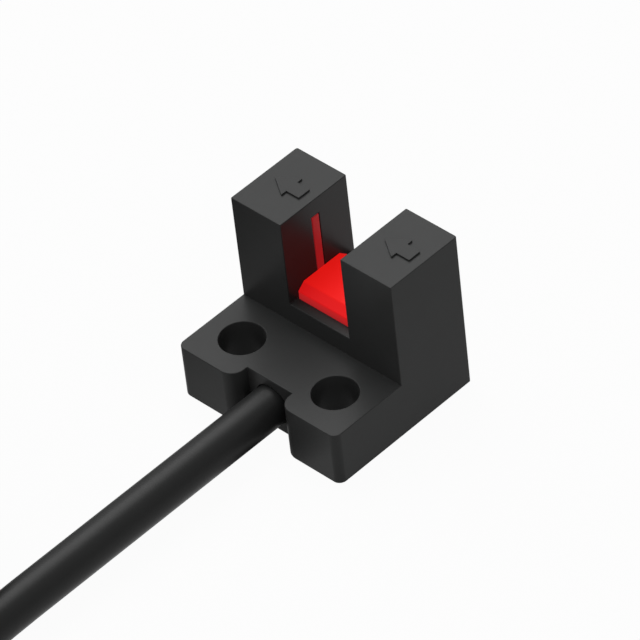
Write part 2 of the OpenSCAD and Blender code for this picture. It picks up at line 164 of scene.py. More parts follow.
class Shade(Wiring):
    """The shader tree of a material or a world."""

    def __init__(self, owner: Union[bpy.types.Material, bpy.types.World]) -> None:
        """Empties the owner's tree.

        Args:
            owner: the material or the world.
        """
        owner.use_nodes = True
        self.owner = owner
        self.tree = owner.node_tree
        self.tree.nodes.clear()

    def place(self) -> Sock:
        """The point on the piece, in metres in the part's own frame."""
        return self.node("ShaderNodeTexCoord", output="Object")

    def axes(self) -> tuple[Sock, Sock, Sock]:
        """The point's three coordinates, each by itself."""
        split = self.node("ShaderNodeSeparateXYZ", {0: self.place()}).socket.node
        return tuple(Sock(self, output) for output in split.outputs)

    def noise(self, size_mm: float, detail: float, warp: float = 0.0) -> Sock:
        """Soft noise from 0 to 1 whose spots are about as wide as the size."""
        inputs = {"Scale": 1 / (size_mm * MM), "Detail": detail, "Distortion": warp}
        return self.node("ShaderNodeTexNoise", {"Vector": self.place(), **inputs})

    def cells(self, size_mm: float) -> Sock:
        """The distance to the nearest of many scattered points, in cells of the size."""
        inputs = {"Vector": self.place(), "Scale": 1 / (size_mm * MM)}
        return self.node("ShaderNodeTexVoronoi", inputs, {"feature": "SMOOTH_F1"})

    def rise(self, value: Sock, start: float, end: float) -> Sock:
        """0 up to the start, 1 from the end on, and an even rise between them."""
        inputs = {"Value": value, "From Min": start, "From Max": end}
        return self.node("ShaderNodeMapRange", inputs)

    def ramp(self, value: Sock, stops: Sequence[tuple[float, Colour]]) -> Sock:
        """A colour for each value."""
        return self.node("ShaderNodeValToRGB", {0: value}, {"stops": stops})

    def blend(self, share: Number, first: Any, second: Any) -> Sock:
        """A mix of two colours, from the first at 0 to the second at 1."""
        inputs = {0: share, 6: first, 7: second}
        return self.node("ShaderNodeMix", inputs, {"data_type": "RGBA"}, 2)

    def bump(self, height: Sock, depth_mm: float) -> Sock:
        """A normal for a height from 0 to 1 that stands for a depth."""
        inputs = {"Height": height, "Distance": depth_mm * MM, "Strength": 1.0}
        return self.node("ShaderNodeBump", inputs)

    def close(self, shader: Sock) -> None:
        """Leads a shader to the tree's output."""
        kind = "World" if isinstance(self.owner, bpy.types.World) else "Material"
        self.node(f"ShaderNodeOutput{kind}", {"Surface": shader})


# Finishes


def scaled(colour: Colour, by: float) -> Rgba:
    """A colour made lighter or darker, with its alpha."""
    return (*[min(1.0, part * by) for part in colour], 1.0)


@dataclass(frozen=True)
class Finish:
    """A finish whose colour clouds a little and whose skin has a fine grain."""

    slot: str
    colour: Colour
    roughness: float = 0.4
    uneven: float = 0.08
    metallic: float = 0.0
    specular: float = 0.5
    cloud: float = 0.1
    cloud_mm: float = 2.0
    grain_mm: float = 0.1
    grain_depth_mm: float = 0.002
    coat_roughness: float = 0.25

    def clouded(self, shade: Shade, share: Sock) -> Sock:
        """The colour, from its darker to its lighter tone by the share."""
        dark, light = scaled(self.colour, 1 - self.cloud), scaled(self.colour, 1 + self.cloud)
        return shade.blend(share, dark, light)

    def tint(self, shade: Shade) -> Sock:
        """The colour over the surface."""
        return self.clouded(shade, shade.noise(self.cloud_mm, detail=3.0, warp=0.4))

    def relief(self, shade: Shade) -> Sock:
        """The height of the skin, from 0 to 1."""
        return shade.noise(self.grain_mm, detail=2.0)

    def gloss(self, shade: Shade, height: Sock) -> Sock:
        """The roughness over the surface, a little less on the grain's tops."""
        return self.roughness + self.uneven * (0.5 - height)

    def coat(self, shade: Shade) -> Sock | None:
        """The weight of the clear coat, if there is one."""
        return None

    def light(self, shade: Shade) -> Sock | None:
        """The light that the surface gives off, if any."""
        return None

    def make(self) -> bpy.types.Material:
        """Builds the material, once.

        Returns:
            The material of this finish.
        """
        name = f"{self.slot}_finish"
        known = bpy.data.materials.get(name)
        if known:
            return known
        shade = Shade(bpy.data.materials.new(name))
        height = self.relief(shade)
        inputs: Inputs = {
            "Base Color": self.tint(shade),
            "Roughness": self.gloss(shade, height),
            "Metallic": self.metallic,
            "Specular IOR Level": self.specular,
            "Normal": shade.bump(height, self.grain_depth_mm),
        }
        coat = self.coat(shade)
        if coat:
            inputs |= {"Coat Weight": coat, "Coat Roughness": self.coat_roughness}
        light = self.light(shade)
        if light:
            inputs |= {"Emission Color": light, "Emission Strength": 1.0}
        shade.close(shade.node("ShaderNodeBsdfPrincipled", inputs))
        return shade.owner


@dataclass(frozen=True)
class ErodedMoulding(Finish):
    """Moulded plastic with the fine pitted skin of a spark-eroded mould."""

    pit_mm: float = 0.16
    pit_share: float = 0.4

    def relief(self, shade: Shade) -> Sock:
        """Fine grain with small pits between its tops."""
        grain = (1 - self.pit_share) * shade.noise(self.grain_mm, detail=3.0)
        return grain + self.pit_share * shade.cells(self.pit_mm)


@dataclass(frozen=True)
class SlottedMoulding(ErodedMoulding):
    """Moulded plastic with slot walls from a polished core, glossier than the rest, and painted
    shade that makes them darker.
    """

    slot_half_mm: float = 2.56
    slot_floor_mm: float = 5.6
    polish: float = 0.16
    # How far painted shade darkens the slot's walls towards black
    deepen: float = 0.45

    def polished(self, shade: Shade) -> Sock:
        """Finds the slot's walls.

        Args:
            shade: the material's tree.

        Returns:
            1 on the walls and 0 elsewhere.
        """
        across, _, height = shade.axes()
        inside = (self.slot_half_mm * MM) ** 2 - across * across > 0.0
        return inside * (height > self.slot_floor_mm * MM)

    def tint(self, shade: Shade) -> Sock:
        """The colour over the surface, with painted shade darkening the slot's walls."""
        return shade.blend(self.deepen * self.polished(shade), super().tint(shade), BLACK)

    def coat(self, shade: Shade) -> Sock:
        """The gloss of the slot's walls."""
        return self.polish * self.polished(shade)


@dataclass(frozen=True)
class ClearMoulding(Finish):
    """Clear coloured plastic with a painted glow: strong on its top, weaker down its front and in
    the slits.
    """

    foot_mm: float = 5.4
    top_mm: float = 6.6
    # Painted light: the glow's colour by height, from the block's foot to its top
    glow: tuple[tuple[float, Colour], ...] = (
        (0.1, (0.3, 0.012, 0.014)), (0.47, (0.402, 0.011, 0.012)), (0.52, (0.492, 0.004, 0.005)),
        (0.88, (0.504, 0.004, 0.004)), (0.93, (0.59, 0.005, 0.003)),
    )
    slit_from_mm: float = 2.48
    # Painted light in the slits
    slit_glow: Colour = (0.104, 0.005, 0.0065)

    def light(self, shade: Shade) -> Sock:
        """Painted light: a glow strong on the block's top, less down its front and in the slits.

        Args:
            shade: the material's tree.

        Returns:
            The colour of the painted glow.
        """
        across, _, height = shade.axes()
        block = shade.ramp(shade.rise(height, self.foot_mm * MM, self.top_mm * MM), self.glow)
        in_slit = across * across > (self.slit_from_mm * MM) ** 2
        return shade.blend(in_slit, block, (*self.slit_glow, 1.0))


@dataclass(frozen=True)
class ExtrudedJacket(Finish):
    """A cable's extruded skin: smooth, with faint waves and dull specks."""

    wave_mm: float = 1.3
    wave_share: float = 0.7
    speck_mm: float = 0.4

    def relief(self, shade: Shade) -> Sock:
        """Long faint waves under a fine grain."""
        waves = self.wave_share * shade.noise(self.wave_mm, detail=1.0)
        return waves + (1 - self.wave_share) * shade.noise(self.grain_mm, detail=3.0)

    def gloss(self, shade: Shade, height: Sock) -> Sock:
        """The roughness, with dull specks where it was handled."""
        specks = shade.noise(self.speck_mm, detail=4.0, warp=0.6)
        return self.roughness + self.uneven * (specks - 0.5)


@dataclass(frozen=True)
class WovenLaminate(Finish):
    """A board of woven glass under a coloured mask."""

    thread_mm: float = 0.5

    def relief(self, shade: Shade) -> Sock:
        """The weave that shows through the mask.

        Args:
            shade: the material's tree.

        Returns:
            Its height, from 0 to 1.
        """
        across, along, _ = shade.axes()
        turn = 2 * math.pi / (self.thread_mm * MM)
        return 0.5 + 0.25 * (across * turn).sine() + 0.25 * (along * turn).sine()

    def tint(self, shade: Shade) -> Sock:
        """The mask, lighter over the weave's tops."""
        return self.clouded(shade, self.relief(shade))


@dataclass(frozen=True)
class SpeckledCeramic(Finish):
    """Fired ceramic or glazed film with fine specks."""

    speck: Colour = (0.1, 0.08, 0.06)
    speck_share: float = 0.5
    speck_fade: tuple[tuple[float, Colour], ...] = ((0.12, WHITE[:3]), (0.3, BLACK[:3]))

    def tint(self, shade: Shade) -> Sock:
        """The body's colour with dark specks."""
        specks = shade.ramp(shade.cells(self.grain_mm), self.speck_fade)
        return shade.blend(self.speck_share * specks, super().tint(shade), (*self.speck, 1.0))


class CoreColour(Enum):
    """The insulation's colours, in the order in which the cores lie in the jacket."""

    BROWN = (0, (0.155, 0.055, 0.022))
    BLUE = (1, (0.02, 0.085, 0.42))
    BLACK = (2, (0.02, 0.02, 0.021))
    WHITE = (3, (0.78, 0.78, 0.74))

    @property
    def place(self) -> int:
        """The core's number in the jacket."""
        return self.value[0]

    @property
    def word(self) -> str:
        """The colour's name as the nodes have it."""
        return self.name.lower()

    def finish(self) -> Finish:
        """The insulation's finish."""
        return ExtrudedJacket(
            slot=f"{self.word}_insulation", colour=self.value[1], roughness=0.36, cloud=0.08,
            cloud_mm=0.8, grain_mm=0.07, grain_depth_mm=0.003, wave_mm=0.5,
        )


BLACK_MOULDING = SlottedMoulding(
    slot="black_moulding", colour=(0.0361, 0.0367, 0.0365), roughness=0.34, uneven=0.1,
    specular=0.075, cloud=0.06, cloud_mm=1.6, grain_mm=0.075, grain_depth_mm=0.0016,
)
RED_MOULDING = ClearMoulding(
    slot="red_clear_moulding", colour=(0.44, 0.012, 0.013), roughness=0.4, specular=0.1, cloud=0.03,
    cloud_mm=1.2, grain_mm=0.12, grain_depth_mm=0.0008,
)
JACKET = ExtrudedJacket(
    slot="cable_jacket", colour=(0.015, 0.0153, 0.0152), roughness=0.4, uneven=0.08, specular=0.165,
    cloud=0.08, cloud_mm=1.8, grain_mm=0.09, grain_depth_mm=0.006,
)
TIE_NYLON = Finish(
    slot="tie_nylon", colour=(0.74, 0.73, 0.67), roughness=0.42, cloud=0.06, cloud_mm=1.5,
    grain_mm=0.12, grain_depth_mm=0.003,
)
TINNED = Finish(
    slot="tinned_metal", colour=(0.66, 0.66, 0.64), roughness=0.32, uneven=0.2, metallic=1.0,
    cloud=0.12, cloud_mm=0.5, grain_mm=0.12, grain_depth_mm=0.006,
)
BRASS = Finish(
    slot="brass_band", colour=(0.72, 0.5, 0.2), roughness=0.3, uneven=0.15, metallic=1.0, cloud=0.1,
    cloud_mm=0.8, grain_mm=0.1, grain_depth_mm=0.003,
)
COPPER = Finish(
    slot="bare_copper", colour=(0.8, 0.36, 0.2), roughness=0.28, uneven=0.15, metallic=1.0,
    cloud=0.12, cloud_mm=0.4, grain_mm=0.06, grain_depth_mm=0.003,
)
LAMINATE = WovenLaminate(
    slot="board_laminate", colour=(0.018, 0.14, 0.06), roughness=0.33, cloud=0.15,
    grain_depth_mm=0.006,
)
CLEAR_RESIN = Finish(
    slot="clear_resin", colour=(0.36, 0.42, 0.6), roughness=0.12, cloud=0.06, cloud_mm=0.9,
    grain_mm=0.3, grain_depth_mm=0.002,
)
DARK_RESIN = Finish(
    slot="dark_resin", colour=(0.02, 0.012, 0.022), roughness=0.14, cloud=0.1, cloud_mm=0.9,
    grain_mm=0.3, grain_depth_mm=0.002,
)
CHIP_MOULDING = ErodedMoulding(
    slot="chip_moulding", colour=(0.022, 0.022, 0.024), roughness=0.55, cloud=0.12, cloud_mm=0.5,
    grain_mm=0.05, grain_depth_mm=0.003, pit_mm=0.09,
)
LAMP_RESIN = Finish(
    slot="lamp_resin", colour=(0.85, 0.76, 0.5), roughness=0.2, cloud=0.08, cloud_mm=0.4,
    grain_mm=0.15, grain_depth_mm=0.002,
)
RESISTOR_FILM = SpeckledCeramic(
    slot="resistor_film", colour=(0.018, 0.018, 0.022), roughness=0.25, cloud=0.1, cloud_mm=0.4,
    grain_mm=0.08, grain_depth_mm=0.002, speck=(0.05, 0.05, 0.055),
)
CERAMIC = SpeckledCeramic(
    slot="capacitor_ceramic", colour=(0.42, 0.29, 0.17), roughness=0.45, cloud=0.12, cloud_mm=0.5,
    grain_mm=0.09, grain_depth_mm=0.003, speck=(0.2, 0.12, 0.06),
)


# Making pieces


def linked(name: str, data: Any) -> bpy.types.Object:
    """Makes an object of the scene.

    Args:
        name: the object's name.
        data: the mesh, curve, lamp or camera that it holds.

    Returns:
        The object.
    """
    made = bpy.data.objects.new(name, data)
    bpy.context.scene.collection.objects.link(made)
    return made


def dress(piece: bpy.types.Object, finish: Finish) -> bpy.types.Object:
    """Gives a piece its material.

    Args:
        piece: the piece.
        finish: what it is made of.

    Returns:
        The piece.
    """
    piece.data.materials.clear()
    piece.data.materials.append(finish.make())
    return piece


def seat(piece: bpy.types.Object, *nodes: str) -> bpy.types.Object:
    """Puts a piece on the body, in the place of nodes.

    Args:
        piece: the piece.
        nodes: the names of the nodes that it stands for.

    Returns:
        The piece.
    """
    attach(piece, BODY)
    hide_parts(*nodes)
    log.info("%s stands for %s", piece.name, ", ".join(nodes))
    return piece


def as_mesh(made: bpy.types.Object) -> bpy.types.Object:
    """Turns an object with live modifiers into a plain mesh.

    Args:
        made: the object.

    Returns:
        The same object with the finished mesh and no modifiers.
    """
    evaluated = made.evaluated_get(bpy.context.evaluated_depsgraph_get())
    mesh = bpy.data.meshes.new_from_object(evaluated)
    made.modifiers.clear()
    made.data = mesh
    return made


def tube(name: str, points: Sequence[Vector], radius: float, rounds: int) -> bpy.types.Object:
    """Makes a round tube along one open spline.

    Args:
        name: the piece's name.
        points: the middle line, in metres.
        radius: half of the thickness, in metres.
        rounds: how finely the section is rounded.

    Returns:
        The curve's object.
    """
    data = bpy.data.curves.new(name, "CURVE")
    data.dimensions = "3D"
    data.bevel_depth = radius
    data.bevel_resolution = rounds
    data.use_fill_caps = True
    spline = data.splines.new("POLY")
    spline.points.add(len(points) - 1)
    for target, point in zip(spline.points, points):
        target.co = (*point, 1.0)
    spline.use_smooth = True
    return linked(name, data)


def settled(name: str, bm: bmesh.types.BMesh) -> bpy.types.Object:
    """Makes an object of a mesh whose construction is done.

    Args:
        name: the object's name.
        bm: the mesh, which is freed.

    Returns:
        The object.
    """
    mesh = bpy.data.meshes.new(name)
    bm.to_mesh(mesh)
    bm.free()
    return linked(name, mesh)


def bridge(
    bm: bmesh.types.BMesh, near: Sequence[bmesh.types.BMVert], far: Sequence[bmesh.types.BMVert]
) -> None:
    """Joins two rings with a band of faces.

    Args:
        bm: the mesh under construction.
        near: the points of the first ring.
        far: the points of the second ring, as many as in the first.
    """
    for n in range(len(near)):
        m = (n + 1) % len(near)
        bm.faces.new((near[n], near[m], far[m], far[n]))


def eased(share: float) -> float:
    """A smooth rise from 0 at 0 to 1 at 1."""
    t = min(max(share, 0.0), 1.0)
    return t * t * (3 - 2 * t)


@dataclass
class NodeTree(Wiring):
    """A Geometry Nodes tree with named inputs for its sizes."""

    name: str
    sizes: dict[str, float]
    tree: bpy.types.NodeTree = field(init=False)

    def __post_init__(self) -> None:
        """Makes the tree with one input for the geometry and one for each size."""
        self.tree = bpy.data.node_groups.new(self.name, "GeometryNodeTree")
        add = self.tree.interface.new_socket
        add("Geometry", in_out="INPUT", socket_type="NodeSocketGeometry")
        for size in self.sizes:
            add(size, in_out="INPUT", socket_type="NodeSocketFloat")
        add("Geometry", in_out="OUTPUT", socket_type="NodeSocketGeometry")

    def given(self, name: str) -> Sock:
        """One of the tree's inputs."""
        return self.node("NodeGroupInput", output=name)

    def close(self, geometry: Sock, finish: Finish) -> None:
        """Realizes the instances, sets the material and leads the result out.

        Args:
            geometry: the tree's result.
            finish: what it is made of.
        """
        real = self.node("GeometryNodeRealizeInstances", {"Geometry": geometry})
        inputs = {"Geometry": real, "Material": finish.make()}
        self.node("NodeGroupOutput", {0: self.node("GeometryNodeSetMaterial", inputs)})

    def run(self, piece: bpy.types.Object) -> bpy.types.Object:
        """Runs the tree on a piece.

        Args:
            piece: the object to run it on.

        Returns:
            The same object as a plain mesh.
        """
        modifier = piece.modifiers.new(self.name, "NODES")
        modifier.node_group = self.tree
        for item in self.tree.interface.items_tree:
            if item.in_out == "INPUT" and item.name in self.sizes:
                modifier[item.identifier] = self.sizes[item.name]
        return as_mesh(piece)


# The sensor


@dataclass
class Moulding:
    """A node redrawn as one clean skin, with the small radius that a mould leaves on its edges."""

    node: str
    finish: Finish
    edge_mm: float
    rounds: int = 2
    join_mm: float = 0.0005
    flat_deg: float = 0.6
    sharp_deg: float = 38.0
    wall_share: float = 0.12
    blend_deg: float = 47.0

    def skin(self) -> bpy.types.Object:
        """Copies the node and joins its triangles into whole faces.

        Returns:
            The skin, with its outer edges marked for rounding.
        """
        bm = bmesh.new()
        bm.from_mesh(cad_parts[self.node].data)
        bmesh.ops.remove_doubles(bm, verts=bm.verts, dist=self.join_mm * MM)
        bmesh.ops.dissolve_limit(
            bm, angle_limit=math.radians(self.flat_deg), verts=bm.verts, edges=bm.edges)
        for face in bm.faces:
            face.smooth = True
        self.weigh(bm)
        return settled(f"{self.node}_skin", bm)

    def weigh(self, bm: bmesh.types.BMesh) -> None:
        """Marks the outer edges for rounding, those of low walls less.

        Args:
            bm: the skin, whose edges get their weights.
        """
        weight = bm.edges.layers.float.new("bevel_weight_edge")
        for edge in bm.edges:
            if edge.calc_face_angle_signed(0.0) > math.radians(self.sharp_deg):
                wall = min(face.calc_area() for face in edge.link_faces) / edge.calc_length()
                edge[weight] = min(1.0, self.wall_share * wall / (self.edge_mm * MM))

    def shade(self, mesh: bpy.types.Mesh) -> None:
        """Gives each corner the mean normal of the faces that it blends with, by their areas.

        Args:
            mesh: the rounded skin, whose corners get their normals.
        """
        around: list[list[bpy.types.MeshPolygon]] = [[] for _ in mesh.vertices]
        for face in mesh.polygons:
            for vertex in face.vertices:
                around[vertex].append(face)
        limit = math.cos(math.radians(self.blend_deg))
        normals = []
        for face in mesh.polygons:
            for vertex in face.vertices:
                near = [one for one in around[vertex] if one.normal.dot(face.normal) > limit]
                mean = sum((one.normal * one.area for one in near), Vector())
                normals.append(mean.normalized())
        mesh.normals_split_custom_set(normals)

    def build(self) -> bpy.types.Object:
        """Builds, dresses and seats the skin.

        Returns:
            The piece that stands for the node.
        """
        piece = self.skin()
        rounding = piece.modifiers.new("edges", "BEVEL")
        rounding.width = self.edge_mm * MM
        rounding.segments = self.rounds
        rounding.limit_method = "WEIGHT"
        rounding.use_clamp_overlap = False
        rounding.loop_slide = False
        rounding.miter_outer = "MITER_ARC"
        dress(as_mesh(piece), self.finish)
        self.shade(piece.data)
        return seat(piece, self.node)


@dataclass
class SensorBody:
    """The housing with its base cover and the red slit cover."""

    mouldings: tuple[Moulding, ...] = (
        Moulding("housing", BLACK_MOULDING, edge_mm=0.06),
        Moulding("base_cover", BLACK_MOULDING, edge_mm=0.03),
        Moulding("slit_cover", RED_MOULDING, edge_mm=0.03),
    )

    def build(self) -> None:
        """Builds the three mouldings."""
        for moulding in self.mouldings:
            moulding.build()


@dataclass
class SensorBoard:
    """What the closed housing holds: the board, its parts, the light packages and the cores."""

    finishes: dict[str, Finish] = field(default_factory=lambda: {
        "circuit_board": LAMINATE,
        "emitter": CLEAR_RESIN,
        "receiver": DARK_RESIN,
        "emitter_leads": TINNED,
        "receiver_leads": TINNED,
        "solder_joints": TINNED,
        "control_chip": CHIP_MOULDING,
        "output_transistors": CHIP_MOULDING,
        "protection_diodes": CHIP_MOULDING,
        "indicator_lamps": LAMP_RESIN,
        "resistors": RESISTOR_FILM,
        "capacitors": CERAMIC,
        "crimp_ring": BRASS,
        "core_wires": COPPER,
        **{f"core_{colour.word}": colour.finish() for colour in CoreColour},
    })

    def build(self) -> None:
        """Dresses the nodes in place."""
        for node, finish in self.finishes.items():
            dress(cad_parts[node], finish)
            log.info("%s in %s", node, finish.slot)


@dataclass
class CableCoil:
    """The cable from its stripped end in the housing, along its straight run and round its coil."""

    radius: float = 1.37 * MM
    rounds: int = 10
    exit: Vector = field(default_factory=lambda: Vector((0, -4.63, 2)) * MM)
    length: float = 1.0
    # The straight run, which comes down to the floor towards its end: along Y, and up
    run_mm: tuple[tuple[float, float], ...] = (
        (-2.4, 2.0), *((-float(y), 2.0) for y in range(4, 27, 2)), (-28.0, 1.96), (-29.5, 1.9),
        (-31.0, 1.81), (-33.0, 1.68), (-35.0, 1.55), (-37.0, 1.44), (-38.5, 1.39),
    )
    middle: Vector = field(default_factory=lambda: Vector((-19.3, -40, 0)) * MM)
    coil_r: float = 19.3 * MM
    pitch: float = 2.76 * MM
    layers: int = 3
    # Where the cable changes column or layer: the turn, columns inwards, layers up
    steps: tuple[tuple[float, int, int], ...] = (
        (0.82, 1, 0), (1.82, 1, 0), (2.72, 0, 1), (3.62, -1, 0), (4.62, -1, 0),
        (5.52, 0, 1), (6.42, 1, 0), (7.42, 1, 0), (8.32, 0, 1), (9.3, -1, 0),
    )
    step_turn: float = 0.1
    last_turn: float = 9.45
    points_per_turn: int = 48
    tie_turn: float = 0.25
    tie_lift: float = 0.33 * MM
    tie_reach: float = 0.07

    def straight(self) -> list[Vector]:
        """The run from the jacket's end in the housing to the coil's first point."""
        return [Vector((0.0, y, z)) * MM for y, z in self.run_mm]

    def moved(self, turn: float, what: int) -> float:
        """Columns inwards (1) or layers up (2) that the coil has moved by a turn."""
        return sum(step[what] * eased((turn - step[0]) / self.step_turn) for step in self.steps)

    def on_ring(self, turn: float, r: float, z: float) -> Vector:
        """A point at a turn's angle on a ring of the coil."""
        angle = -2 * math.pi * turn
        return self.middle + Vector((r * math.cos(angle), r * math.sin(angle), z))

    def lift(self, turn: float, layer: float) -> float:
        """How far the turns rise where they pass over the tie's strap, less in each layer."""
        over = eased(1 - abs((turn - self.tie_turn + 0.5) % 1.0 - 0.5) / self.tie_reach)
        return self.tie_lift * over * max(0.0, 1 - layer / self.layers)

    def at(self, turn: float) -> Vector:
        """Finds the cable's middle after a turn.

        Args:
            turn: the turns from the coil's start.

        Returns:
            The point.
        """
        layer = self.moved(turn, 2)
        r = self.coil_r - self.pitch * self.moved(turn, 1)
        return self.on_ring(turn, r, self.radius + self.pitch * layer + self.lift(turn, layer))

    def build(self, on_cable: Sequence[bpy.types.Object]) -> bpy.types.Object:
        """Args:
            on_cable: the tie, the free cores and their ends; not used.

        Returns:
            The cable's piece.
        """
        count = round(self.last_turn * self.points_per_turn)
        coil = [self.at(self.last_turn * k / count) for k in range(count + 1)]
        line = self.straight() + coil
        piece = dress(tube("sensor_cable", line, self.radius, self.rounds), JACKET)
        seat(piece, "cable", "cable_coil", "cable_end")
        return piece


@dataclass
class FreeCores:
    """The four cores beyond the jacket's end, lying on the coil, and their tinned strands."""

    coil: CableCoil
    radius: float = 0.4 * MM
    rounds: int = 5
    offset: float = 0.42 * MM
    radii_mm: tuple[float, ...] = (15.9, 17.1, 18.3, 19.5)
    share_of_turn: float = 0.262
    gap_turn: float = 0.0005
    # Where on their way the cores move sideways and down: start, length
    spread: tuple[float, float] = (0.0, 0.35)
    fall: tuple[float, float] = (0.1, 0.5)
    rest: float = 0.03 * MM
    points: int = 32
    tip_length: float = 5 * MM
    strand_r: float = 0.066 * MM
    strands: int = 6
    twists: float = 3.5
    points_per_twist: int = 24
    strand_sides: int = 7

    def route(self, core: CoreColour) -> list[Vector]:
        """Lays a free core out from the jacket's end on to the coil.

        Args:
            core: the core.

        Returns:
            Its middle line.
        """
        i = core.place
        coil = self.coil
        start_r = coil.coil_r - coil.pitch + (-1 if i < 2 else 1) * self.offset
        start_z = coil.radius + coil.pitch * coil.layers + (1 if i in (1, 2) else -1) * self.offset
        rest_z = 2 * coil.radius + coil.pitch * (coil.layers - 1) + self.radius + self.rest
        line = []
        for k in range(self.points + 1):
            v = k / self.points
            out = eased((v - self.spread[0]) / self.spread[1])
            down = eased((v - self.fall[0]) / self.fall[1])
            r = start_r + (self.radii_mm[i] * MM - start_r) * out
            z = start_z + (rest_z - start_z) * down
            turn = coil.last_turn + self.gap_turn + self.share_of_turn * v
            line.append(coil.on_ring(turn, r, z))
        return line

    def strand_tree(self) -> NodeTree:
        """Builds the tree that twists a ring of strands round a straight one.

        Returns:
            The tree.
        """
        work = NodeTree("twisted_strands", {
            "Length": self.tip_length, "Strand": self.strand_r, "Strands": float(self.strands),
            "Twists": self.twists,
        })
        length, strand, strands, twists = (work.given(size) for size in work.sizes)
        ring = strand * 2.0
        helix = work.node("GeometryNodeCurveSpiral", {
            "Resolution": self.points_per_twist, "Rotations": twists, "Start Radius": ring,
            "End Radius": ring, "Height": length,
        })
        places = work.node("GeometryNodePoints", {"Count": strands})
        angle = work.node("GeometryNodeInputIndex") / strands * (2 * math.pi)
        turned = work.node("ShaderNodeCombineXYZ", {"Z": angle})
        ringed = work.node("GeometryNodeInstanceOnPoints", {
            "Points": places, "Instance": helix, "Rotation": turned})
        end = work.node("ShaderNodeCombineXYZ", {"Z": length})
        core = work.node("GeometryNodeCurvePrimitiveLine", {"End": end})
        both = work.node("GeometryNodeJoinGeometry", {0: ringed})
        work.tree.links.new(core.socket, both.socket.node.inputs[0])
        lines = work.node("GeometryNodeRealizeInstances", {"Geometry": both})
        section = work.node("GeometryNodeCurvePrimitiveCircle", {
            "Resolution": self.strand_sides, "Radius": strand})
        wires = work.node("GeometryNodeCurveToMesh", {
            "Curve": lines, "Profile Curve": section, "Fill Caps": True})
        work.close(wires, TINNED)
        return work

    def tips(self, routes: Sequence[Sequence[Vector]]) -> bpy.types.Object:
        """Builds the bared ends: twisted strands in line with each core's end.

        Args:
            routes: the cores' middle lines.

        Returns:
            The ends, as one piece.
        """
        strand = self.strand_tree().run(linked("strands", bpy.data.meshes.new("strands")))
        bm = bmesh.new()
        for line in routes:
            ahead = (line[-1] - line[-2]).normalized()
            turn = ahead.to_track_quat("Z", "Y").to_matrix().to_4x4()
            copy = strand.data.copy()
            copy.transform(Matrix.Translation(line[-1]) @ turn)
            bm.from_mesh(copy)
            bpy.data.meshes.remove(copy)
        for face in bm.faces:
            face.smooth = True
        bpy.data.objects.remove(strand)
        return seat(dress(settled("bared_ends", bm), TINNED), "lead_tips")

    def build(self) -> list[bpy.types.Object]:
        """Builds the free cores and their ends.

        Returns:
            The five pieces.
        """
        pieces, routes = [], []
        for core in CoreColour:
            line = self.route(core)
            piece = tube(f"free_core_{core.word}", line, self.radius, self.rounds)
            pieces.append(seat(dress(piece, core.finish()), f"lead_{core.word}"))
            routes.append(line)
        return pieces + [self.tips(routes)]


